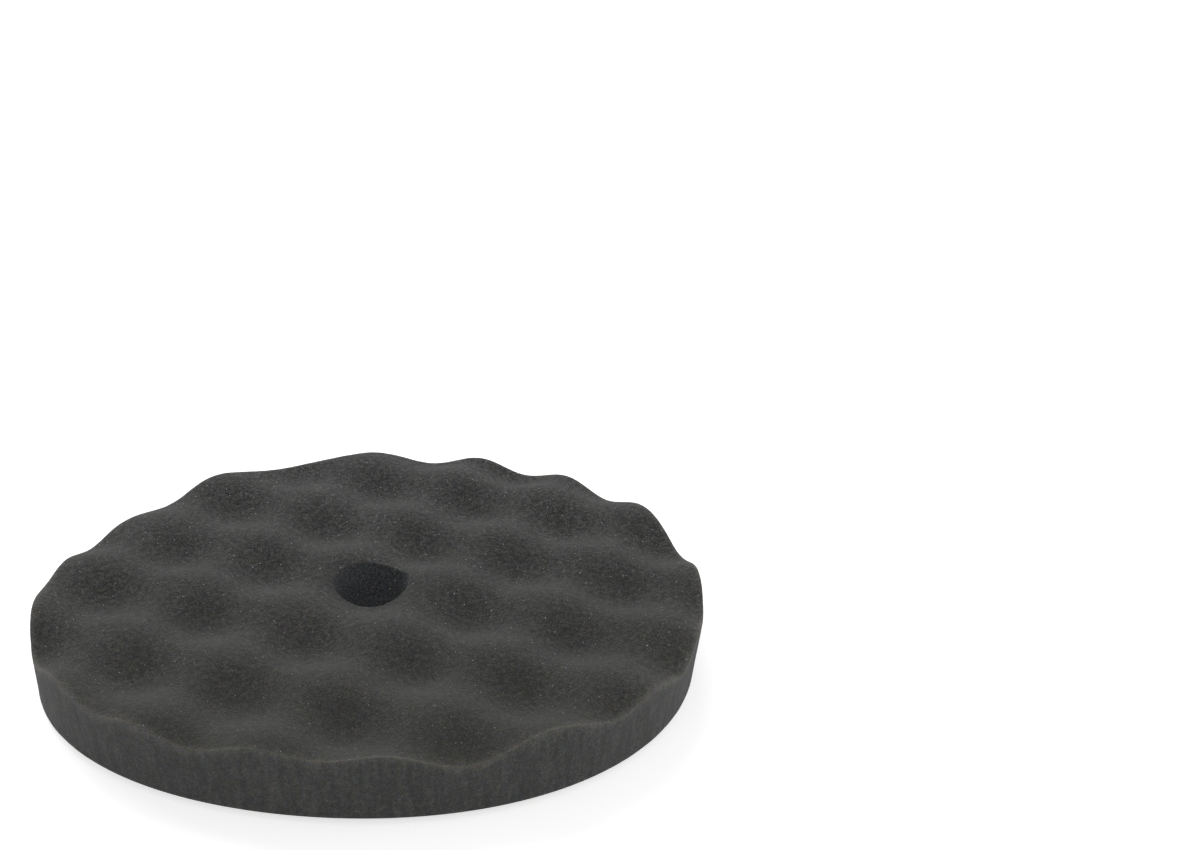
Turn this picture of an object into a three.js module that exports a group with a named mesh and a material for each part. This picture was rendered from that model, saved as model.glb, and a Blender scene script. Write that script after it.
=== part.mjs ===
// Waffle-face foam polishing pad with a hook-and-loop back, in millimetres, +Z up.
// The pad lies on its loop backing at z = 0, waffle face up, with its axis on Z.
// It is a bonded laminate of three pieces: loop backing, adhesive film, foam body.
import * as THREE from "three";

// Driving dimensions.
const PAD_RADIUS = 101.6; // 8 inch pad, measured at the foam's back edge
const RIM_FLARE = 2.0; // how far the side wall leans out by the time it reaches the waffle face
const HOLE_RADIUS = 12.7; // 1 inch centre hole through the loop backing, film and foam
const HOLE_WAIST_RADIUS = 10.1; // soft foam closes in half way up a punched hole
const HOLE_TOP_RADIUS = 12.0; // the hole where it opens on the waffle face
const LOOP_RADIUS = 84.5; // loop backing disc, smaller than the foam so that no edge can touch paint
const LOOP_THICKNESS = 2.0; // knitted base and brushed loops together
const FILM_RADIUS = 86.3; // adhesive squeezed a little past the loop disc
const FILM_THICKNESS = 0.5;
const FOAM_MEAN_THICKNESS = 18.9; // foam from its flat back to the middle height of the waffle
const WAFFLE_PITCH = 35.7; // square grid of hills
const WAFFLE_RISE = 3.1; // hill top above, and hollow below, the middle height
const WAFFLE_ANGLE = THREE.MathUtils.degToRad(-23.3); // grid turned about Z
const WAFFLE_HILL = new THREE.Vector2(-10.25, 17.4); // the hill top nearest the centre hole
const SADDLE_LIFT = 0.2; // saddles between hills sit slightly high, so hollows are rounder than hills

// Mesh fineness.
const SEGMENTS_ROUND = 96;
const RINGS_ON_FACE = 20;
const STEPS_UP_HOLE = 4;

const FOAM_BACK_Z = LOOP_THICKNESS + FILM_THICKNESS;
const FACE_MEAN_Z = FOAM_BACK_Z + FOAM_MEAN_THICKNESS;

const foamMaterial = new THREE.MeshStandardMaterial({ color: 0x3f3f3d, roughness: 0.95, metalness: 0 });
const filmMaterial = new THREE.MeshStandardMaterial({ color: 0x7d7c80, roughness: 0.45, metalness: 0 });
const loopMaterial = new THREE.MeshStandardMaterial({ color: 0xbfc2c7, roughness: 0.9, metalness: 0 });

// Height of the waffle face at a point: two crossed waves of equal pitch.
function waffleHeight(x, y) {
  const dx = x - WAFFLE_HILL.x;
  const dy = y - WAFFLE_HILL.y;
  const along = dx * Math.cos(WAFFLE_ANGLE) + dy * Math.sin(WAFFLE_ANGLE);
  const across = dy * Math.cos(WAFFLE_ANGLE) - dx * Math.sin(WAFFLE_ANGLE);
  const waveA = Math.cos((2 * Math.PI * along) / WAFFLE_PITCH);
  const waveB = Math.cos((2 * Math.PI * across) / WAFFLE_PITCH);
  return FACE_MEAN_Z + (WAFFLE_RISE * (waveA + waveB)) / 2 - SADDLE_LIFT * waveA * waveB;
}

// A closed outline of (radius, height) points, turned about the Z axis.
function turned(outline) {
  const closed = [...outline, outline[0].clone()];
  const geometry = new THREE.LatheGeometry(closed, SEGMENTS_ROUND);
  return geometry.rotateX(Math.PI / 2);
}

// A flat washer between two heights.
function washer(holeRadius, outerRadius, lowZ, highZ) {
  return turned([
    new THREE.Vector2(holeRadius, lowZ),
    new THREE.Vector2(outerRadius, lowZ),
    new THREE.Vector2(outerRadius, highZ),
    new THREE.Vector2(holeRadius, highZ),
  ]);
}

// Radius of the foam's centre hole at a share of the way up: a parabola through back, waist and face.
function holeRadiusAt(share) {
  const towardsBack = (1 - share) * (1 - 2 * share) * HOLE_RADIUS;
  const atWaist = 4 * share * (1 - share) * HOLE_WAIST_RADIUS;
  const towardsFace = share * (2 * share - 1) * HOLE_TOP_RADIUS;
  return towardsBack + atWaist + towardsFace;
}

// The foam's section with a level face at the middle height of the waffle.
function foamSection() {
  const section = [
    new THREE.Vector2(HOLE_RADIUS, FOAM_BACK_Z),
    new THREE.Vector2(PAD_RADIUS, FOAM_BACK_Z),
  ];
  const rimRadius = PAD_RADIUS + RIM_FLARE;
  for (let ring = 0; ring <= RINGS_ON_FACE; ring++) {
    const radius = THREE.MathUtils.lerp(rimRadius, HOLE_TOP_RADIUS, ring / RINGS_ON_FACE);
    section.push(new THREE.Vector2(radius, FACE_MEAN_Z));
  }
  for (let step = STEPS_UP_HOLE - 1; step > 0; step--) {
    const share = step / STEPS_UP_HOLE;
    const z = THREE.MathUtils.lerp(FOAM_BACK_Z, FACE_MEAN_Z, share);
    section.push(new THREE.Vector2(holeRadiusAt(share), z));
  }
  return section;
}

// The foam body: the turned section, stretched in height at each point so that its face follows the waffle.
function foamBody() {
  const geometry = turned(foamSection());
  const position = geometry.getAttribute("position");
  for (let i = 0; i < position.count; i++) {
    const share = (position.getZ(i) - FOAM_BACK_Z) / FOAM_MEAN_THICKNESS;
    const localThickness = waffleHeight(position.getX(i), position.getY(i)) - FOAM_BACK_Z;
    position.setZ(i, FOAM_BACK_Z + share * localThickness);
  }
  geometry.computeVertexNormals();
  return geometry;
}

function addPiece(group, name, geometry, material) {
  const mesh = new THREE.Mesh(geometry, material);
  mesh.name = name;
  group.add(mesh);
}

const pad = new THREE.Group();
addPiece(pad, "loop_backing", washer(HOLE_RADIUS, LOOP_RADIUS, 0, LOOP_THICKNESS), loopMaterial);
addPiece(pad, "adhesive_film", washer(HOLE_RADIUS, FILM_RADIUS, LOOP_THICKNESS, FOAM_BACK_Z), filmMaterial);
addPiece(pad, "foam_body", foamBody(), foamMaterial);

export default pad;
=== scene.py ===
import math

import bpy
import numpy as np
from mathutils import Matrix, Vector


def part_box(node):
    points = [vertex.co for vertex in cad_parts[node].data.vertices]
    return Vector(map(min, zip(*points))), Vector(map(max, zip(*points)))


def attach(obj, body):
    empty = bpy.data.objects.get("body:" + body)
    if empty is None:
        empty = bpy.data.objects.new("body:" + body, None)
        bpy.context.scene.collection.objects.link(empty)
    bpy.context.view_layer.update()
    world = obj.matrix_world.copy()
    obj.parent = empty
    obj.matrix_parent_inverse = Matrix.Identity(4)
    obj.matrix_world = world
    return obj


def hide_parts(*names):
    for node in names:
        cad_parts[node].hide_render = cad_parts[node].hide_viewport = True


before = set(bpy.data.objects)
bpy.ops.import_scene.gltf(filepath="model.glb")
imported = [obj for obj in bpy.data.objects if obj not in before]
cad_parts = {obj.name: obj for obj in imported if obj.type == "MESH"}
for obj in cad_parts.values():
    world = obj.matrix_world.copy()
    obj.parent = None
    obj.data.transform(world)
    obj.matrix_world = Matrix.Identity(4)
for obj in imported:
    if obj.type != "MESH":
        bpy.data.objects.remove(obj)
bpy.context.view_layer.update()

MM = 0.001
FULL_TURN = 2 * math.pi

# ---------------------------------------------------------------- camera
CAMERA_PLACE = Vector((0.0702, -0.5328, 0.2953))
CAMERA_LOOKS_DOWN = math.radians(22.24)
CAMERA_ROLL = math.radians(0.73)
CAMERA_LENS = 56.86
CAMERA_SENSOR = 36.0


def make_camera():
    data = bpy.data.cameras.new("camera")
    data.lens = CAMERA_LENS
    data.sensor_width = CAMERA_SENSOR
    data.clip_start = 0.01
    data.clip_end = 60.0
    camera = bpy.data.objects.new("camera", data)
    bpy.context.scene.collection.objects.link(camera)
    tilt = Matrix.Rotation(math.pi / 2 - CAMERA_LOOKS_DOWN, 4, "X")
    roll = Matrix.Rotation(CAMERA_ROLL, 4, "Z")
    camera.matrix_world = Matrix.Translation(CAMERA_PLACE) @ tilt @ roll
    bpy.context.scene.camera = camera


make_camera()

# ---------------------------------------------------------------- sizes, from the CAD nodes
foam_low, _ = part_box("foam_body")
film_low, film_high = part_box("adhesive_film")
loop_low, loop_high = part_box("loop_backing")
BACK_Z = foam_low.z
LOOP_RADIUS = loop_high.x
FILM_RADIUS = film_high.x

# The foam's driving sizes. They are the CAD foam's, but for a rim that leans out a little further and a
# hole that opens less at its top.
PAD_RADIUS = 101.6 * MM
RIM_FLARE = 2.6 * MM
HOLE_RADIUS = 12.7 * MM
HOLE_WAIST_RADIUS = 10.1 * MM
HOLE_TOP_RADIUS = 11.15 * MM
MEAN_THICKNESS = 18.9 * MM
WAFFLE_PITCH = 35.7 * MM
WAFFLE_RISE = 3.1 * MM
WAFFLE_ANGLE = math.radians(-23.3)
WAFFLE_HILL = (-10.25 * MM, 17.4 * MM)
SADDLE_LIFT = 0.2 * MM

# A soft pad is never quite round: its outline has a slight three-cornered swing.
OUTLINE_COS3 = -0.0124
OUTLINE_SIN3 = -0.0175
OUTLINE_COS4 = -0.004
OUTLINE_SWELL = 0.004
# On one side the soft rim stands straight instead of leaning out.
STRAIGHT_SIDE = math.radians(183)
STRAIGHT_WIDTH = math.radians(30)
# Where the outermost waffle cells are weaker, as (direction, width, share).
WEAK_SIDES = ((math.radians(112), math.radians(18), 0.5), (math.radians(152), math.radians(11), 0.5))
# Where the cut rim stands higher or lower than the waffle, as (direction, width, height).
RIM_LIFTS = ((math.radians(67), math.radians(7), -0.9 * MM),
             (math.radians(131), math.radians(6), 0.6 * MM),
             (math.radians(146), math.radians(8), -1.4 * MM),
             (math.radians(166), math.radians(6), -1.2 * MM),
             (math.radians(179), math.radians(7), 1.6 * MM))
# How steeply both grow towards the rim.
WEAK_STEEPNESS = 4
LIFT_STEEPNESS = 9

# The hole was punched through soft foam, so that it leans a little on its way up.
HOLE_LEAN = (-1.4 * MM, 4.0 * MM)
HOLE_OVAL_COS2 = 0.07
HOLE_OVAL_SIN2 = 0.03
HOLE_OVAL_COS3 = -0.012
# The face sinks a little round the hole.
HOLE_DIP = 0.5 * MM
HOLE_DIP_REACH = 15.5 * MM
HOLE_DIP_STEEPNESS = 6

NOISE_TABLE = 48


def lattice_noise(points, cell, seed):
    """Smooth noise from -1 to 1 at each point, with features of about one cell."""
    table = np.random.default_rng(seed).uniform(-1, 1, (NOISE_TABLE,) * 3)
    scaled = points / cell
    base = np.floor(scaled).astype(int)
    share = scaled - base
    share = share * share * (3 - 2 * share)
    total = np.zeros(len(points))
    for corner in np.ndindex(2, 2, 2):
        index = (base + corner) % NOISE_TABLE
        weight = np.ones(len(points))
        for axis, up in enumerate(corner):
            weight *= share[:, axis] if up else 1 - share[:, axis]
        total += weight * table[index[:, 0], index[:, 1], index[:, 2]]
    return total


def waffle_height(x, y):
    """Height of the waffle face over the foam's back: two crossed waves, uneven near the rim and hole."""
    dx, dy = x - WAFFLE_HILL[0], y - WAFFLE_HILL[1]
    along = dx * math.cos(WAFFLE_ANGLE) + dy * math.sin(WAFFLE_ANGLE)
    across = dy * math.cos(WAFFLE_ANGLE) - dx * math.sin(WAFFLE_ANGLE)
    wave_a = np.cos(FULL_TURN * along / WAFFLE_PITCH)
    wave_b = np.cos(FULL_TURN * across / WAFFLE_PITCH)
    relief = WAFFLE_RISE * (wave_a + wave_b) / 2 - SADDLE_LIFT * wave_a * wave_b
    angle = np.arctan2(y, x)
    outwards = np.clip(np.hypot(x, y) / PAD_RADIUS, 0, 1)
    weak = outwards ** WEAK_STEEPNESS * sum(
        share * around_peak(angle, middle, width) for middle, width, share in WEAK_SIDES
    )
    lift = outwards ** LIFT_STEEPNESS * sum(
        height * around_peak(angle, middle, width) for middle, width, height in RIM_LIFTS
    )
    from_hole = np.hypot(x - HOLE_LEAN[0], y - HOLE_LEAN[1])
    dip = HOLE_DIP * np.exp(-((from_hole / HOLE_DIP_REACH) ** HOLE_DIP_STEEPNESS))
    return MEAN_THICKNESS + relief * (1 - weak) + lift - dip


def around_peak(angle, middle, width):
    """A smooth hump, 1 at the middle angle, that dies out over the width."""
    apart = (angle - middle + math.pi) % FULL_TURN - math.pi
    return np.exp(-((apart / width) ** 2))


def out_of_round(angle):
    three_cornered = OUTLINE_COS3 * np.cos(3 * angle) + OUTLINE_SIN3 * np.sin(3 * angle)
    return 1 + OUTLINE_SWELL + three_cornered + OUTLINE_COS4 * np.cos(4 * angle)


def flare_at(angle):
    """How far the side wall leans out; on one side the soft rim stands straight."""
    return RIM_FLARE * (1 - around_peak(angle, STRAIGHT_SIDE, STRAIGHT_WIDTH))


def hole_radius_at(share):
    """The punched hole closes in half way up: a parabola through back, waist and face."""
    towards_back = (1 - share) * (1 - 2 * share) * HOLE_RADIUS
    at_waist = 4 * share * (1 - share) * HOLE_WAIST_RADIUS
    towards_face = share * (2 * share - 1) * HOLE_TOP_RADIUS
    return towards_back + at_waist + towards_face


# ---------------------------------------------------------------- meshes from rings
def angles_of(count):
    return np.arange(count) * FULL_TURN / count


def faces_between(first, second, first_start, second_start):
    """Faces from one ring of points to the next; one may have twice the points of the other."""
    faces = []
    if first == second:
        for i in range(first):
            j = (i + 1) % first
            faces.append((first_start + i, first_start + j, second_start + j, second_start + i))
        return faces
    fine_first = first > second
    fine_start, fine = (first_start, first) if fine_first else (second_start, second)
    coarse_start, coarse = (second_start, second) if fine_first else (first_start, first)
    for i in range(coarse):
        here, there = coarse_start + i, coarse_start + (i + 1) % coarse
        a, b, c = (fine_start + (2 * i + k) % fine for k in range(3))
        made = [(a, b, here), (b, there, here), (b, c, there)]
        faces += made if fine_first else [tuple(reversed(face)) for face in made]
    return faces


def mesh_piece(name, points, faces, material):
    """A smooth-shaded closed mesh in the scene, with its faces turned outwards."""
    mesh = bpy.data.meshes.new(name)
    mesh.from_pydata(points.tolist(), [], faces)
    if signed_volume(mesh) < 0:
        mesh.flip_normals()
    mesh.shade_smooth()
    mesh.materials.append(material)
    piece = bpy.data.objects.new(name, mesh)
    bpy.context.scene.collection.objects.link(piece)
    return piece


def mesh_from_rings(name, rings, material, attributes=()):
    """A closed mesh from a list of rings; each ring is a dict of its points and attribute values."""
    starts = np.cumsum([0] + [len(ring["points"]) for ring in rings])
    faces = []
    for i, ring in enumerate(rings):
        following = (i + 1) % len(rings)
        other = rings[following]
        faces += faces_between(
            len(ring["points"]), len(other["points"]), int(starts[i]), int(starts[following])
        )
    points = np.concatenate([ring["points"] for ring in rings])
    piece = mesh_piece(name, points, faces, material)
    for attribute in attributes:
        values = np.concatenate([
            np.broadcast_to(ring.get(attribute, 0.0), len(ring["points"])) for ring in rings
        ])
        layer = piece.data.attributes.new(attribute, "FLOAT", "POINT")
        layer.data.foreach_set("value", values.astype(np.float32))
    return piece


def signed_volume(mesh):
    """The volume inside a closed mesh; below zero where its faces point inwards."""
    mesh.calc_loop_triangles()
    corners = np.zeros(len(mesh.loop_triangles) * 3, np.int32)
    mesh.loop_triangles.foreach_get("vertices", corners)
    places = np.zeros(len(mesh.vertices) * 3)
    mesh.vertices.foreach_get("co", places)
    a, b, c = np.moveaxis(places.reshape(-1, 3)[corners.reshape(-1, 3)], 1, 0)
    return float(np.einsum("ij,ij->", a, np.cross(b, c))) / 6


# ---------------------------------------------------------------- node helpers
class Nodes:
    """A material's node tree, with short calls that make a node and wire its inputs."""

    def __init__(self, name):
        self.material = bpy.data.materials.new(name)
        self.material.use_nodes = True
        self.tree = self.material.node_tree
        self.tree.nodes.clear()
        self.place = self.add("ShaderNodeTexCoord").outputs["Object"]

    def add(self, kind, **settings):
        node = self.tree.nodes.new(kind)
        for key, value in settings.items():
            setattr(node, key, value)
        return node

    def put(self, socket, value):
        if isinstance(value, bpy.types.NodeSocket):
            self.tree.links.new(value, socket)
        else:
            socket.default_value = value

    def math(self, operation, *values, clamp=False):
        node = self.add("ShaderNodeMath", operation=operation, use_clamp=clamp)
        for socket, value in zip(node.inputs, values):
            self.put(socket, value)
        return node.outputs[0]

    def shifted(self, base, value, amount, middle=0.5, clamp=False):
        """The base, moved by how far the value lies from its middle, times an amount."""
        return self.math("MULTIPLY_ADD", self.math("SUBTRACT", value, middle), amount, base, clamp=clamp)

    def split(self, kind, value):
        """The separate parts of a colour or a place."""
        node = self.add(kind)
        self.put(node.inputs[0], value)
        return node.outputs

    def scaled(self, vector, scale):
        node = self.add("ShaderNodeMapping")
        self.put(node.inputs["Vector"], vector)
        node.inputs["Scale"].default_value = scale
        return node.outputs[0]

    def noise(self, size, detail=2.0, roughness=0.5, vector=None):
        node = self.add("ShaderNodeTexNoise")
        self.put(node.inputs["Vector"], vector or self.place)
        node.inputs["Scale"].default_value = 1 / size
        node.inputs["Detail"].default_value = detail
        node.inputs["Roughness"].default_value = roughness
        return node.outputs[0]

    def cells(self, size):
        node = self.add("ShaderNodeTexVoronoi", feature="F1")
        self.put(node.inputs["Vector"], self.place)
        node.inputs["Scale"].default_value = 1 / size
        return node

    def ranged(self, value, low, high, to_low=0.0, to_high=1.0):
        node = self.add("ShaderNodeMapRange")
        for socket, given in zip(node.inputs, (value, low, high, to_low, to_high)):
            self.put(socket, given)
        return node.outputs[0]

    def attribute(self, name):
        return self.add("ShaderNodeAttribute", attribute_name=name).outputs["Fac"]

    def ramp(self, value, stops):
        node = self.add("ShaderNodeValToRGB")
        self.put(node.inputs[0], value)
        elements = node.color_ramp.elements
        while len(elements) < len(stops):
            elements.new(0.5)
        for element, (position, colour) in zip(elements, stops):
            element.position = position
            element.color = (*colour, 1.0)
        return node.outputs[0]

    def mix(self, factor, first, second):
        node = self.add("ShaderNodeMix", data_type="RGBA")
        self.put(node.inputs[0], factor)
        for socket, value in ((node.inputs[6], first), (node.inputs[7], second)):
            self.put(socket, value if isinstance(value, bpy.types.NodeSocket) else (*value, 1.0))
        return node.outputs[2]

    def tinted(self, colour, cast, size, strength):
        """The colour times a cast and a faint speckle of tints, each channel on its own."""
        noise = self.add("ShaderNodeTexNoise")
        self.put(noise.inputs["Vector"], self.place)
        noise.inputs["Scale"].default_value = 1 / size
        tint = self.add("ShaderNodeVectorMath", operation="MULTIPLY_ADD")
        self.put(tint.inputs[0], noise.outputs["Color"])
        tint.inputs[1].default_value = [2 * share for share in strength]
        tint.inputs[2].default_value = [1 - share for share in strength]
        for factor in (cast, tint.outputs[0]):
            node = self.add("ShaderNodeVectorMath", operation="MULTIPLY")
            self.put(node.inputs[0], colour)
            self.put(node.inputs[1], factor)
            colour = node.outputs[0]
        return colour

    def bump(self, height, strength, distance):
        node = self.add("ShaderNodeBump")
        node.inputs["Strength"].default_value = strength
        node.inputs["Distance"].default_value = distance
        self.put(node.inputs["Height"], height)
        return node.outputs[0]

    def finish(self, colour, roughness, normal=None, **constants):
        shader = self.add("ShaderNodeBsdfPrincipled")
        self.put(shader.inputs["Base Color"], colour)
        self.put(shader.inputs["Roughness"], roughness)
        if normal:
            self.put(shader.inputs["Normal"], normal)
        for key, value in constants.items():
            shader.inputs[key.replace("_", " ")].default_value = value
        output = self.add("ShaderNodeOutputMaterial")
        self.tree.links.new(shader.outputs[0], output.inputs[0])
        return self.material


# ---------------------------------------------------------------- foam
FOAM_DARK = (0.024, 0.0245, 0.0238)
FOAM_MIDDLE = (0.0473, 0.0477, 0.0453)
FOAM_LIGHT = (0.128, 0.123, 0.111)
WALL_DARK = (0.0236, 0.0244, 0.0248)
WALL_MIDDLE = (0.0465, 0.0473, 0.0474)
WALL_LIGHT = (0.126, 0.124, 0.1165)
BORE_DARK = (0.018, 0.020, 0.022)
BORE_LIGHT = (0.150, 0.155, 0.162)
# The near side's warm cast, and the far side's cooler one: painted sheen, as the far face is seen more
# edge on.
WARM_CAST = (1.0, 1.0, 0.975)
FAR_SHEEN_CAST = (1.0, 1.01, 1.06)
# Painted glint: the colour of the specks, cell walls that catch the light.
FOAM_GLINT = (0.62, 0.63, 0.64)

# Sizes of what shows in cut foam.
GRAIN_SIZE = 0.44 * MM
PORE_SIZE = 0.6 * MM
TINT_SIZE = 1.4 * MM
MOTTLE_SIZE = 1.5 * MM
GLINT_SPACING = 1.7 * MM
STREAK_SIZE = 1.8 * MM
STREAK_STRETCH = (1.0, 1.0, 0.08)
PATCH_SIZE = 14 * MM
GLINT_SOLID, GLINT_GONE = 0.06, 0.12
# A cell has a painted glint where its own random value is above this.
GLINT_ABOVE = 0.5

# How strongly each of them moves the shade, which runs from dark, 0, to light, 1.
MIDDLE_SHADE = 0.40
GRAIN_SHOWS = 1.4
MOTTLE_SHOWS = 0.8
PORES_SHOW = 0.30
MIDDLE_PORE = 0.45
PATCHES_SHOW = 0.16
STREAKS_SHOW = 0.75
TINTS_SHOW = (0.17, 0.17, 0.32)
# How strong the grain and the painted glints are: more towards the +Y side, the side the key light comes
# from.
GRAIN_AND_GLINTS_AT_LOW_Y, GRAIN_AND_GLINTS_AT_HIGH_Y, GRAIN_AND_GLINTS_ON_WALL = 0.65, 2.35, 0.8
WALL_CALM = 0.66
WALL_LIFT = 0.025
WALL_GLINTS = 0.2
BORE_GRAIN_SHOWS = 2.4
BORE_SHADE = 0.34
# Painted sheen: the fuzzy rim is painted lighter, and more so where it is seen edge on.
RIM_SHEEN_FACING, RIM_SHEEN_GRAZING = 0.42, 0.66
FACING_BELOW, GRAZING_ABOVE = 0.2, 0.8
# Noise stays mostly between these two, so they bound what it drives.
NOISE_LOW, NOISE_HIGH = 0.3, 0.7
FOAM_ROUGHEST, FOAM_SMOOTHEST = 0.98, 0.86
GRAIN_HEIGHT, PORE_HEIGHT = 0.6, 0.8
BUMP_STRENGTH, BEAD_BUMP_STRENGTH = 0.6, 0.8
BUMP_DEPTH = 0.3 * MM


def foam_painted_glints(n, wall, grain_and_glints):
    """Painted glints: sparse bright cell walls that catch the light, painted into the colour; how much of
    the glint's colour shows.
    """
    cell = n.cells(GLINT_SPACING)
    near = n.ranged(cell.outputs["Distance"], GLINT_SOLID, GLINT_GONE, 1.0, 0.0)
    chance = n.split("ShaderNodeSeparateColor", cell.outputs["Color"])[0]
    painted_glint = n.math("MULTIPLY", near, n.ranged(chance, GLINT_ABOVE, 1.0))
    painted_glint = n.math("MULTIPLY", painted_glint, n.ranged(wall, 0.0, 1.0, 1.0, WALL_GLINTS))
    return n.math("MULTIPLY", painted_glint, grain_and_glints)


def foam_material():
    n = Nodes("foam_charcoal")
    pores = n.cells(PORE_SIZE).outputs["Distance"]
    grain = n.noise(GRAIN_SIZE, detail=2.0, roughness=0.7)
    mottle = n.noise(MOTTLE_SIZE, detail=2.0, roughness=0.6)
    patches = n.noise(PATCH_SIZE, detail=3.0)
    streaks = n.noise(STREAK_SIZE, detail=3.0, vector=n.scaled(n.place, STREAK_STRETCH))
    wall = n.attribute("wall")
    rim = n.attribute("rim")
    bore = n.attribute("bore")
    y = n.split("ShaderNodeSeparateXYZ", n.place)[1]
    # Grain and painted glints grow towards +Y, and are set apart on the wall.
    grain_and_glints = n.ranged(y, -PAD_RADIUS, PAD_RADIUS, GRAIN_AND_GLINTS_AT_LOW_Y, GRAIN_AND_GLINTS_AT_HIGH_Y)
    grain_and_glints = n.ranged(wall, 0.0, 1.0, grain_and_glints, GRAIN_AND_GLINTS_ON_WALL)
    painted_glint = foam_painted_glints(n, wall, grain_and_glints)

    shade = n.shifted(0.0, grain, GRAIN_SHOWS)
    shade = n.shifted(shade, mottle, MOTTLE_SHOWS)
    shade = n.math("MULTIPLY_ADD", shade, grain_and_glints, MIDDLE_SHADE)
    shade = n.shifted(shade, pores, PORES_SHOW, middle=MIDDLE_PORE)
    shade = n.shifted(shade, patches, PATCHES_SHOW)
    streak = n.math("MULTIPLY", n.math("SUBTRACT", streaks, 0.5), wall)
    shade = n.math("MULTIPLY_ADD", streak, STREAKS_SHOW, shade)
    calm = n.ranged(wall, 0.0, 1.0, 1.0, WALL_CALM)
    shade = n.shifted(MIDDLE_SHADE, shade, calm, middle=MIDDLE_SHADE)
    shade = n.math("MULTIPLY_ADD", wall, WALL_LIFT, shade)
    grazing = n.add("ShaderNodeLayerWeight").outputs["Facing"]
    rim_sheen = n.ranged(grazing, FACING_BELOW, GRAZING_ABOVE, RIM_SHEEN_FACING, RIM_SHEEN_GRAZING)
    # Painted sheen: the rim's light line, stronger where the rim is seen edge on.
    shade = n.math("MULTIPLY_ADD", rim, rim_sheen, shade, clamp=True)

    colour = n.ramp(shade, [(0.0, FOAM_DARK), (MIDDLE_SHADE, FOAM_MIDDLE), (1.0, FOAM_LIGHT)])
    cut_colour = n.ramp(shade, [(0.0, WALL_DARK), (MIDDLE_SHADE, WALL_MIDDLE), (1.0, WALL_LIGHT)])
    colour = n.mix(wall, colour, cut_colour)
    bore_shade = n.shifted(BORE_SHADE, grain, BORE_GRAIN_SHOWS)
    colour = n.mix(bore, colour, n.ramp(bore_shade, [(0.0, BORE_DARK), (1.0, BORE_LIGHT)]))
    # Painted glints: the bright specks are painted into the colour.
    colour = n.mix(painted_glint, colour, FOAM_GLINT)
    # Painted sheen: the colour turns cooler towards +Y, where the face is seen more edge on.
    cast = n.mix(n.ranged(y, -PAD_RADIUS, PAD_RADIUS), WARM_CAST, FAR_SHEEN_CAST)
    colour = n.tinted(colour, cast, TINT_SIZE, TINTS_SHOW)
    height = n.math("MULTIPLY_ADD", grain, GRAIN_HEIGHT, n.math("MULTIPLY", pores, PORE_HEIGHT))
    height = n.math("ADD", height, streak)
    return n.finish(
        colour,
        n.ranged(grain, NOISE_LOW, NOISE_HIGH, FOAM_ROUGHEST, FOAM_SMOOTHEST),
        n.bump(height, BUMP_STRENGTH, BUMP_DEPTH),
        Specular_IOR_Level=0.2,
        Sheen_Weight=0.08,
        Sheen_Roughness=0.5,
    )


# Fineness of the foam mesh: points round a ring, and steps between rings.
FINE, MEDIUM, COARSE = 768, 384, 192
FINE_OUTSIDE, MEDIUM_OUTSIDE = 52 * MM, 26 * MM
FOAM_STEP = 0.86 * MM
BACK_STEP_INSIDE, BACK_STEP_OUTSIDE = 6 * MM, 8 * MM
RIM_FILLET_STEPS = 5
HOLE_FILLET_STEPS = 3
BORE_STEPS = 20

RIM_FILLET = 0.3 * MM
HOLE_FILLET = 0.45 * MM
EDGE_BEVEL = 0.2 * MM
# How the rim's painted sheen, a light line on the fuzzy cut rim, fades out down the wall and inwards over
# the face.
WALL_RIM_SHEEN, WALL_RIM_SHEEN_STEEPNESS = 0.5, 17
FACE_RIM_SHEEN, RIM_FADE = 0.75, 1.05 * MM
# How fast the outline's swing, the flare and the hole's lean die out across the face.
SWING_STEEPNESS = 2
FLARE_STEEPNESS = 2
LEAN_STEEPNESS = 4
# A slight unevenness of cut foam.
SKIN_WAVE = 0.07 * MM
SKIN_FINE_CELL, SKIN_FINE_SHARE = 1.9 * MM, 0.6
SKIN_WIDE_CELL = 7 * MM
SKIN_FINE_SEED, SKIN_WIDE_SEED = 11, 12


def segments_at(radius):
    """Points round a ring; a ring has the same number as its neighbour, or twice or half as many."""
    if radius > FINE_OUTSIDE:
        return FINE
    return MEDIUM if radius > MEDIUM_OUTSIDE else COARSE


def even_steps(start, end, step):
    """Evenly spaced values from start to end, no further apart than the step."""
    count = max(1, math.ceil(abs(end - start) / step))
    return np.linspace(start, end, count + 1)


def foam_ring(radius, height_share, drop=0.0, round_share=1.0, flare=0.0, lean=0.0, **values):
    """One ring of the foam; its height is a share of the local foam thickness, less a drop."""
    angle = angles_of(segments_at(radius))
    swing = 1 + (out_of_round(angle) - 1) * round_share
    oval = HOLE_OVAL_COS2 * np.cos(2 * angle) + HOLE_OVAL_SIN2 * np.sin(2 * angle)
    oval += HOLE_OVAL_COS3 * np.cos(3 * angle)
    reach = (radius + flare * flare_at(angle)) * swing * (1 + lean * oval)
    x = reach * np.cos(angle) + lean * HOLE_LEAN[0]
    y = reach * np.sin(angle) + lean * HOLE_LEAN[1]
    z = BACK_Z + waffle_height(x, y) * height_share - drop
    return {"points": np.stack([x, y, z], axis=1), **values}


def swing_share(radius):
    """How much of the outline's swing is left at a radius: all at the rim, none at the hole."""
    return max(0.0, (radius - HOLE_RADIUS) / (PAD_RADIUS - HOLE_RADIUS)) ** SWING_STEEPNESS


def back_rings():
    """The flat glued back, from the hole outwards."""
    inside = even_steps(HOLE_RADIUS + EDGE_BEVEL, FINE_OUTSIDE, BACK_STEP_INSIDE)
    outside = even_steps(
        FINE_OUTSIDE + BACK_STEP_INSIDE, PAD_RADIUS - EDGE_BEVEL, BACK_STEP_OUTSIDE
    )
    return [
        foam_ring(radius, 0.0, round_share=swing_share(radius))
        for radius in (*inside, *outside)
    ]


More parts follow.
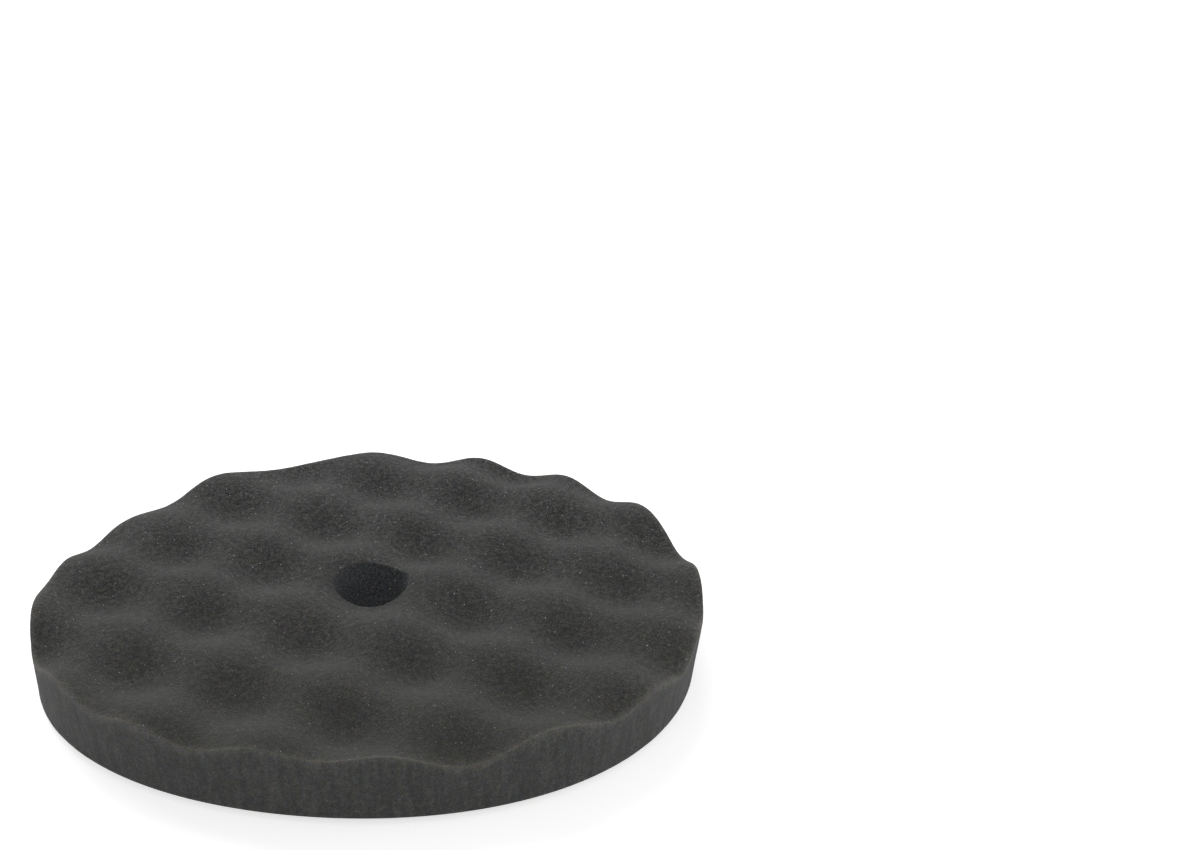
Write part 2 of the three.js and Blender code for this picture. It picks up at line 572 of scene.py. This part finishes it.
def wall_rings():
    """The cut side wall, upwards, and the fillet that turns it over into the face."""
    rings = []
    for share in even_steps(0.0, 1.0, FOAM_STEP / MEAN_THICKNESS):
        drop = RIM_FILLET * share - EDGE_BEVEL * (1 - share)
        # Painted sheen: the light line of the rim, fading down the wall.
        fray = WALL_RIM_SHEEN * share ** WALL_RIM_SHEEN_STEEPNESS
        rings.append(foam_ring(PAD_RADIUS, share, drop, flare=share, wall=1.0, rim=fray))
    for turn in even_steps(0.0, 1.0, 1 / RIM_FILLET_STEPS)[1:]:
        bend = turn * math.pi / 2
        radius = PAD_RADIUS - RIM_FILLET * (1 - math.cos(bend))
        drop = RIM_FILLET * (1 - math.sin(bend))
        # The fillet carries the full painted sheen of the rim.
        rings.append(foam_ring(radius, 1.0, drop, flare=1.0, wall=1 - turn, rim=1.0))
    return rings


def face_rings():
    """The waffle face, from the rim inwards to the lip of the hole."""
    rings = []
    outer = PAD_RADIUS - RIM_FILLET
    inner = HOLE_TOP_RADIUS + HOLE_FILLET
    for radius in even_steps(outer, inner, FOAM_STEP)[1:]:
        # Painted sheen: the light line of the rim, fading inwards over the face.
        fray = FACE_RIM_SHEEN * math.exp(-(outer - radius) / RIM_FADE)
        outwards = (radius - inner) / (outer - inner)
        rings.append(foam_ring(
            radius, 1.0, round_share=swing_share(radius), flare=outwards ** FLARE_STEEPNESS,
            lean=(1 - outwards) ** LEAN_STEEPNESS, rim=fray,
        ))
    return rings


def bore_rings():
    """The lip of the hole and its inside, downwards to the back."""
    rings = []
    for turn in even_steps(0.0, 1.0, 1 / HOLE_FILLET_STEPS)[1:]:
        bend = turn * math.pi / 2
        radius = HOLE_TOP_RADIUS + HOLE_FILLET * (1 - math.sin(bend))
        drop = HOLE_FILLET * (1 - math.cos(bend))
        rings.append(foam_ring(radius, 1.0, drop, round_share=0.0, lean=1.0, bore=turn))
    for share in even_steps(1.0, 0.0, 1 / BORE_STEPS)[1:]:
        drop = HOLE_FILLET * share - EDGE_BEVEL * (1 - share)
        rings.append(foam_ring(
            hole_radius_at(share), share, drop, round_share=0.0, lean=share, bore=1.0,
        ))
    return rings


def roughen(rings):
    """A slight unevenness of cut foam on every face except the flat glued back."""
    for ring in rings:
        points = ring["points"]
        fine = lattice_noise(points, SKIN_FINE_CELL, SKIN_FINE_SEED)
        wide = lattice_noise(points, SKIN_WIDE_CELL, SKIN_WIDE_SEED)
        lift = SKIN_WAVE * (fine * SKIN_FINE_SHARE + wide)
        if max(ring.get("wall", 0.0), ring.get("bore", 0.0)) > 0.5:
            from_axis = np.linalg.norm(points[:, :2], axis=1)
            points[:, :2] += points[:, :2] / from_axis[:, None] * lift[:, None]
        elif points[0, 2] > BACK_Z + MM:
            points[:, 2] += lift


def foam_body():
    rings = back_rings() + wall_rings() + face_rings() + bore_rings()
    roughen(rings)
    return mesh_from_rings("foam_face_and_wall", rings, foam_material(), ("wall", "rim", "bore"))


foam = foam_body()
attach(foam, "root")
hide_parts("foam_body")

# ---------------------------------------------------------------- adhesive film
FILM_DARK = (0.07, 0.068, 0.066)
FILM_GREY = (0.24, 0.235, 0.23)
FILM_PALE = (0.75, 0.75, 0.76)
BEAD_SIZE = 0.55 * MM
FILM_GRAIN_SIZE = 0.3 * MM
GLINT_SHOWS = 0.8
BEAD_SHINIEST, BEAD_DULLEST = 0.15, 0.6

FILM_SEGMENTS = 1536
# Rings of the flat parts, from the hole outwards, as (radius, points).
FILM_FLAT_RINGS = (
    (HOLE_RADIUS + 0.3 * MM, COARSE), (24 * MM, COARSE), (26 * MM, MEDIUM), (50 * MM, MEDIUM),
    (52 * MM, FINE), (80 * MM, FINE), (82.5 * MM, FILM_SEGMENTS),
)
# Gap that keeps the faces of foam, film, cloth and floor off each other.
GLUE_GAP = 0.02 * MM
BEAD_SEED = 21
# Section of the squeezed edge: its shoulder, its foot, the turn under it and the beaded band behind.
SHOULDER_IN, SHOULDER_DROP = 0.35 * MM, 0.06 * MM
FOOT_RISE = 0.2 * MM
TURN_IN, TURN_RISE, TURN_BEADS = 0.2 * MM, 0.08 * MM, 0.1 * MM
BAND_RISE, BAND_BEADS = 0.12 * MM, 0.22 * MM
BAND_FIRST, BAND_STEP = 0.15, 0.17

# The squeezed edge wanders by noise, as (cell, height, seed), about a mean offset from the CAD film.
EDGE_OFFSET = -1.3 * MM
EDGE_NOISE = ((3.2 * MM, 0.25 * MM, 31), (0.7 * MM, 0.15 * MM, 32))
# Where more glue came out, as (direction, width, height): two wide bands and two blobs.
EDGE_HUMPS = ((math.radians(100), 0.75, 2.0 * MM), (math.radians(285), 0.62, 1.8 * MM),
              (math.radians(268), 0.06, 1.3 * MM), (math.radians(30), 0.05, 0.9 * MM))


def film_material():
    n = Nodes("adhesive_hot_melt")
    cell = n.cells(BEAD_SIZE)
    glint = n.split("ShaderNodeSeparateColor", cell.outputs["Color"])
    height = n.math("SUBTRACT", n.noise(FILM_GRAIN_SIZE, detail=2.0), cell.outputs["Distance"])
    # Painted glints and painted shade: each bead gets a random glint, and the colour follows the bump
    # height, so the dips between beads are painted darker.
    shade = n.math("MULTIPLY_ADD", glint[0], GLINT_SHOWS, height)
    colour = n.ramp(shade, [(0.1, FILM_DARK), (0.45, FILM_GREY), (1.0, FILM_PALE)])
    roughness = n.ranged(glint[1], 0.0, 1.0, BEAD_SHINIEST, BEAD_DULLEST)
    bumps = n.bump(height, BEAD_BUMP_STRENGTH, BUMP_DEPTH)
    return n.finish(colour, roughness, bumps, Specular_IOR_Level=0.7)


def film_edge(angle):
    """Radius of the squeezed edge, round the disc."""
    on_circle = np.stack([np.cos(angle), np.sin(angle), np.zeros_like(angle)], axis=1) * FILM_RADIUS
    wander = np.full(len(angle), EDGE_OFFSET)
    for cell, height, seed in EDGE_NOISE:
        wander += height * lattice_noise(on_circle, cell, seed)
    for middle, width, height in EDGE_HUMPS:
        wander += height * around_peak(angle, middle, width)
    return FILM_RADIUS + wander


def film_ring(radius, z, beads=0.0, count=FILM_SEGMENTS):
    """One ring of the film; its radius is a number, or one value for each point."""
    angle = angles_of(FILM_SEGMENTS)[::FILM_SEGMENTS // count]
    around = np.stack([np.cos(angle), np.sin(angle)], axis=1)
    reach = np.broadcast_to(radius, count)[:, None]
    points = np.column_stack([around * reach, np.full(count, z)])
    points[:, 2] -= beads * (1 + lattice_noise(points, BEAD_SIZE, BEAD_SEED)) / 2
    return {"points": points}


def adhesive_film():
    """The film: its flat top, the squeezed edge with its beads, and its flat underside."""
    edge = film_edge(angles_of(FILM_SEGMENTS))
    top = film_high.z - GLUE_GAP
    low = film_low.z + GLUE_GAP
    last_flat = FILM_FLAT_RINGS[-1][0]
    rings = [film_ring(radius, top, count=count) for radius, count in FILM_FLAT_RINGS]
    rings.append(film_ring(edge - SHOULDER_IN, top))
    rings.append(film_ring(edge, top - SHOULDER_DROP))
    rings.append(film_ring(edge, low + FOOT_RISE))
    rings.append(film_ring(edge - TURN_IN, low + TURN_RISE, TURN_BEADS))
    for share in even_steps(BAND_FIRST, 1.0, BAND_STEP)[:-1]:
        inwards = edge * (1 - share) + last_flat * share
        rings.append(film_ring(inwards, low + BAND_RISE, BAND_BEADS))
    rings += [film_ring(radius, low, count=count) for radius, count in reversed(FILM_FLAT_RINGS)]
    return mesh_from_rings("adhesive_rim", rings, film_material())


film = adhesive_film()
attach(film, "root")
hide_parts("adhesive_film")

# ---------------------------------------------------------------- loop backing
LOOP_SHADE = (0.40, 0.41, 0.43)
LOOP_PALE = (0.60, 0.615, 0.64)
LOOP_EDGE = (0.34, 0.29, 0.26)
NAP_GRAIN_SIZE = 0.5 * MM
CLUMP_SIZE = 2.4 * MM
CLOTH_PATCH_SIZE = 30 * MM
CLOTH_MIDDLE_SHADE = 0.55
NAP_SHOWS, CLUMPS_SHOW, CLOTH_PATCHES_SHOW = 1.1, 0.7, 0.4
EDGE_COLOUR_SHARE = 0.7
CLOTH_SMOOTHEST, CLOTH_ROUGHEST = 0.8, 0.98

LOOP_FINE_OUTSIDE, LOOP_MEDIUM_OUTSIDE = 42 * MM, 21 * MM
LOOP_STEP = 0.9 * MM
LOOP_FLAT_RINGS = (HOLE_RADIUS + 0.1 * MM, 20 * MM, 22 * MM, 40 * MM, 44 * MM, LOOP_RADIUS - 0.3 * MM)
EDGE_SHARES = (0.0, 0.25, 0.5, 0.75)
EDGE_HEIGHT = 1.7 * MM
EDGE_DROP = 0.1 * MM
FACE_INSET = 0.5 * MM
TUFT_HEIGHT = 0.32 * MM
OUTER_WANDER, FACE_WANDER, HOLE_WANDER = 0.35 * MM, 0.1 * MM, 0.2 * MM
# Noise of the brushed face's tufts and of the cut edge's wander, as (cell, share, seed).
TUFT_NOISE = ((1.3 * MM, 0.6, 43), (3.5 * MM, 0.4, 44))
CUT_NOISE = ((1.1 * MM, 0.35, 41), (9 * MM, 1.0, 42))


def loop_material():
    n = Nodes("loop_brushed_nylon")
    nap = n.noise(NAP_GRAIN_SIZE, detail=4.0, roughness=0.7)
    clumps = n.noise(CLUMP_SIZE, detail=3.0)
    patches = n.noise(CLOTH_PATCH_SIZE, detail=2.0)
    edge = n.attribute("edge")
    shade = n.shifted(CLOTH_MIDDLE_SHADE, nap, NAP_SHOWS)
    shade = n.shifted(shade, clumps, CLUMPS_SHOW)
    shade = n.shifted(shade, patches, CLOTH_PATCHES_SHOW, clamp=True)
    colour = n.ramp(shade, [(0.0, LOOP_SHADE), (1.0, LOOP_PALE)])
    colour = n.mix(n.math("MULTIPLY", edge, EDGE_COLOUR_SHARE), colour, LOOP_EDGE)
    roughness = n.ranged(nap, NOISE_LOW, NOISE_HIGH, CLOTH_SMOOTHEST, CLOTH_ROUGHEST)
    return n.finish(
        colour, roughness, n.bump(n.math("ADD", nap, clumps), BUMP_STRENGTH, BUMP_DEPTH),
        Specular_IOR_Level=0.3, Sheen_Weight=0.35, Sheen_Roughness=0.45,
    )


def summed_noise(points, layers):
    """Noise of several sizes added up; each layer is (cell, share, seed)."""
    return sum(share * lattice_noise(points, cell, seed) for cell, share, seed in layers)


def loop_ring(radius, z, nap=0.0, wander=0.0, **values):
    """One ring of the cloth, with the height of its tufts and the wander of its radius."""
    coarser = MEDIUM if radius > LOOP_MEDIUM_OUTSIDE else COARSE
    count = FINE if radius > LOOP_FINE_OUTSIDE else coarser
    angle = angles_of(count)
    on_circle = np.stack([np.cos(angle), np.sin(angle), 0 * angle], axis=1) * radius
    reach = radius + wander * summed_noise(on_circle, CUT_NOISE)
    points = np.stack([reach * np.cos(angle), reach * np.sin(angle), np.full(count, z)], axis=1)
    points[:, 2] += nap * (1 + summed_noise(points, TUFT_NOISE)) / 2
    return {"points": points, **values}


def cut_edge_ring(radius, share, wander):
    """One ring of a cut edge of the cloth, a share of the way down it."""
    z = loop_high.z - GLUE_GAP - EDGE_DROP - share * EDGE_HEIGHT
    return loop_ring(radius, z, wander=wander, edge=1 - share)


def loop_backing():
    """The cloth: glued side, outer cut edge, brushed face and the cut edge of the hole."""
    rings = [loop_ring(radius, loop_high.z - GLUE_GAP) for radius in LOOP_FLAT_RINGS]
    rings += [cut_edge_ring(LOOP_RADIUS, share, OUTER_WANDER) for share in EDGE_SHARES]
    for radius in even_steps(LOOP_RADIUS - FACE_INSET, HOLE_RADIUS + FACE_INSET, LOOP_STEP):
        rings.append(loop_ring(radius, loop_low.z + GLUE_GAP, nap=TUFT_HEIGHT, wander=FACE_WANDER))
    rings += [cut_edge_ring(HOLE_RADIUS, share, HOLE_WANDER) for share in reversed(EDGE_SHARES)]
    return mesh_from_rings("loop_disc", rings, loop_material(), ("edge",))


# Painted light: the strands are the cloth's own nylon, painted paler than the cloth to offset the shade
# that falls on them among the tufts.
FIBRE_PALE = (0.80, 0.81, 0.83)
FIBRE_SHADE = (0.62, 0.63, 0.65)
FIBRE_STEPS = 6
FIBRE_SIDES = 3
FIBRE_RADIUS = 0.05 * MM
FIBRE_END_SHARE = 0.45
# Any direction that no fibre runs along.
ACROSS_FIBRE = (0.31, 0.17, 0.94)
STRAND_PATCH_SIZE = 0.8 * MM
STRAND_SHINIEST, STRAND_DULLEST = 0.45, 0.7
NAP_LOOPS = 4600
NAP_SEED = 51
NAP_LENGTH = (0.9 * MM, 2.0 * MM)
NAP_CURL = 2.2
NAP_ROOT, NAP_RISE = 0.36 * MM, 0.28 * MM
FRAY_SEED = 52
EDGE_FIBRES = 1500
HOLE_FIBRE_SHARE = 0.15
FRAY_LENGTH = (0.15 * MM, 0.55 * MM)
FRAY_START, HOLE_FRAY_START = 0.3 * MM, 0.2 * MM
FRAY_ROOT = 0.4 * MM
FRAY_LEAN = 0.9
FRAY_HEIGHT = (0.15 * MM, 1.2 * MM)
FRAY_RISE = (-0.1 * MM, 0.35 * MM)
# Tufts that stand out further, as (direction, strength).
TUFTS = ((math.radians(204), 0.9), (math.radians(214), 0.6), (math.radians(223), 1.2),
         (math.radians(231), 0.7), (math.radians(238), 1.0), (math.radians(152), 0.8),
         (math.radians(17), 0.7), (math.radians(339), 0.6))
FIBRES_IN_TUFT = 26
TUFT_LENGTH = (0.4 * MM, 1.3 * MM)
TUFT_WIDTH, TUFT_WIDENING = 0.006, 0.01


def unit(vectors):
    return vectors / np.linalg.norm(vectors, axis=2, keepdims=True)


def fibres(name, paths, material):
    """Fine closed strands, one along each path; paths is (strand, step, xyz)."""
    strands, steps = paths.shape[:2]
    along = unit(np.gradient(paths, axis=1))
    side = unit(np.cross(along, ACROSS_FIBRE))
    other = np.cross(along, side)
    bulge = np.sin(np.linspace(0, math.pi, steps))[None, :, None]
    thickness = FIBRE_RADIUS * (FIBRE_END_SHARE + (1 - FIBRE_END_SHARE) * bulge)
    corners = [
        paths + thickness * (math.cos(turn) * side + math.sin(turn) * other)
        for turn in angles_of(FIBRE_SIDES)
    ]
    points = np.stack(corners, axis=2).reshape(-1, 3)
    faces = []
    for strand in range(strands):
        start = strand * steps * FIBRE_SIDES
        for step in range(steps - 1):
            here = start + FIBRE_SIDES * step
            there = here + FIBRE_SIDES
            for k in range(FIBRE_SIDES):
                following = (k + 1) % FIBRE_SIDES
                faces.append((here + k, here + following, there + following, there + k))
        faces.append((start + 2, start + 1, start))
        end = start + FIBRE_SIDES * (steps - 1)
        faces.append((end, end + 1, end + 2))
    return mesh_piece(name, points, faces, material)


def fibre_material():
    n = Nodes("loop_nylon_strand")
    along = n.noise(STRAND_PATCH_SIZE, detail=2.0)
    colour = n.ramp(along, [(NOISE_LOW, FIBRE_SHADE), (NOISE_HIGH, FIBRE_PALE)])
    return n.finish(
        colour, n.ranged(along, NOISE_LOW, NOISE_HIGH, STRAND_SHINIEST, STRAND_DULLEST),
        Specular_IOR_Level=0.5, Sheen_Weight=0.3, Sheen_Roughness=0.4,
    )


def nap_paths():
    """Brushed loops pressed almost flat: each leaves the cloth, curls over it and goes back in."""
    random = np.random.default_rng(NAP_SEED)
    inner, outer = HOLE_RADIUS + MM, LOOP_RADIUS - MM
    radius = np.sqrt(random.uniform(inner ** 2, outer ** 2, NAP_LOOPS))
    angle = random.uniform(0, FULL_TURN, NAP_LOOPS)
    heading = random.uniform(0, FULL_TURN, NAP_LOOPS)
    length = random.uniform(*NAP_LENGTH, NAP_LOOPS)
    curl = random.uniform(-NAP_CURL, NAP_CURL, NAP_LOOPS)
    share = np.linspace(0, 1, FIBRE_STEPS)
    turn = heading[:, None] + curl[:, None] * share
    step = length[:, None] / (FIBRE_STEPS - 1)
    x = (radius * np.cos(angle))[:, None] + np.cumsum(np.cos(turn), axis=1) * step
    y = (radius * np.sin(angle))[:, None] + np.cumsum(np.sin(turn), axis=1) * step
    z = loop_low.z + NAP_ROOT - NAP_RISE * np.sin(share * math.pi)[None, :].repeat(NAP_LOOPS, 0)
    return np.stack([x, y, z], axis=2)


def fray_paths():
    """Cut fibre ends that stand out of the disc's edge and the hole's edge, thicker at a few tufts."""
    random = np.random.default_rng(FRAY_SEED)
    outer_start = LOOP_RADIUS - FRAY_START
    angle = random.uniform(0, FULL_TURN, EDGE_FIBRES)
    reach = random.uniform(*FRAY_LENGTH, EDGE_FIBRES)
    in_hole = random.random(EDGE_FIBRES) < HOLE_FIBRE_SHARE
    start = np.where(in_hole, HOLE_RADIUS + HOLE_FRAY_START, outer_start)
    for middle, strength in TUFTS:
        width = TUFT_WIDTH + TUFT_WIDENING * strength
        angle = np.append(angle, random.normal(middle, width, FIBRES_IN_TUFT))
        reach = np.append(reach, random.uniform(*TUFT_LENGTH, FIBRES_IN_TUFT) * strength)
        start = np.append(start, np.full(FIBRES_IN_TUFT, outer_start))
    count = len(angle)
    outwards = np.where(start > 2 * HOLE_RADIUS, 1.0, -1.0)
    lean = random.uniform(-FRAY_LEAN, FRAY_LEAN, count)
    share = np.linspace(0, 1, FIBRE_STEPS)
    across = start[:, None] + outwards[:, None] * (reach + FRAY_ROOT)[:, None] * share
    swing = angle[:, None] + (lean * reach / start)[:, None] * share ** 2
    low = random.uniform(*FRAY_HEIGHT, count)[:, None]
    z = loop_low.z + low + random.uniform(*FRAY_RISE, count)[:, None] * share
    return np.stack([across * np.cos(swing), across * np.sin(swing), z], axis=2)


loop = loop_backing()
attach(loop, "root")
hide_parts("loop_backing")
strand = fibre_material()
nap = fibres("loop_nap", nap_paths(), strand)
fray = fibres("loop_fray", fray_paths(), strand)
for strands in (nap, fray):
    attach(strands, "root")
    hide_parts("loop_backing")

# ---------------------------------------------------------------- floor and light
FLOOR_HALF = 12.0
FLOOR_DULL = (0.90, 0.90, 0.90)
FLOOR_BRIGHT = (0.93, 0.93, 0.93)
FLOOR_MOTTLE_SIZE = 60 * MM
# How much the floor glows as a light, and as the camera sees it.
FLOOR_GLOW = 0.46
FLOOR_GLOW_SEEN = 0.66
SKY_LIGHT = 0.255
KEY_FROM = Vector((-0.36, 0.72, 0.60))
KEY_STRENGTH = 1.8
KEY_SPREAD = math.radians(50)
FILL_FROM = Vector((0.1, -0.8, 0.62))
FILL_STRENGTH = 0.45
FILL_SPREAD = math.radians(70)
SIDE_FROM = Vector((0.98, 0.14, 0.13))
SIDE_STRENGTH = 0.8
SIDE_SPREAD = math.radians(40)


def floor_material():
    """Pale floor that glows a little, more so as the camera sees it, so that the shadow stays soft."""
    n = Nodes("floor_pale")
    seen = n.add("ShaderNodeLightPath").outputs["Is Camera Ray"]
    mottle = n.noise(FLOOR_MOTTLE_SIZE, detail=2.0)
    colour = n.ramp(mottle, [(0.0, FLOOR_DULL), (1.0, FLOOR_BRIGHT)])
    material = n.finish(
        colour, 0.9, Specular_IOR_Level=0.0, Emission_Color=(1.0, 1.0, 1.0, 1.0),
    )
    shader = next(node for node in n.tree.nodes if node.type == "BSDF_PRINCIPLED")
    n.put(shader.inputs["Emission Strength"], n.ranged(seen, 0.0, 1.0, FLOOR_GLOW, FLOOR_GLOW_SEEN))
    return material


def make_floor():
    mesh = bpy.data.meshes.new("floor")
    signs = ((-1, -1), (1, -1), (1, 1), (-1, 1))
    corners = [(FLOOR_HALF * across, FLOOR_HALF * along, 0) for across, along in signs]
    mesh.from_pydata(corners, [], [(0, 1, 2, 3)])
    mesh.materials.append(floor_material())
    floor = bpy.data.objects.new("floor", mesh)
    bpy.context.scene.collection.objects.link(floor)


def make_softbox(name, comes_from, strength, spread):
    """A wide soft light from far away, so that it is even over the whole floor."""
    data = bpy.data.lights.new(name, "SUN")
    data.energy = strength
    data.angle = spread
    light = bpy.data.objects.new(name, data)
    bpy.context.scene.collection.objects.link(light)
    light.rotation_mode = "QUATERNION"
    light.rotation_quaternion = comes_from.to_track_quat("Z", "Y")


def make_world():
    """White studio surroundings: dim as a light, white behind the object."""
    world = bpy.data.worlds.new("studio")
    world.use_nodes = True
    tree = world.node_tree
    background = tree.nodes["Background"]
    background.inputs["Color"].default_value = (1.0, 1.0, 1.0, 1.0)
    seen = tree.nodes.new("ShaderNodeLightPath").outputs["Is Camera Ray"]
    strength = tree.nodes.new("ShaderNodeMapRange")
    tree.links.new(seen, strength.inputs["Value"])
    strength.inputs["To Min"].default_value = SKY_LIGHT
    strength.inputs["To Max"].default_value = 1.0
    tree.links.new(strength.outputs[0], background.inputs["Strength"])
    bpy.context.scene.world = world


make_floor()
make_world()
make_softbox("key_behind", KEY_FROM, KEY_STRENGTH, KEY_SPREAD)
make_softbox("fill_front", FILL_FROM, FILL_STRENGTH, FILL_SPREAD)
make_softbox("side_low", SIDE_FROM, SIDE_STRENGTH, SIDE_SPREAD)
bpy.context.scene.view_settings.view_transform = "Standard"
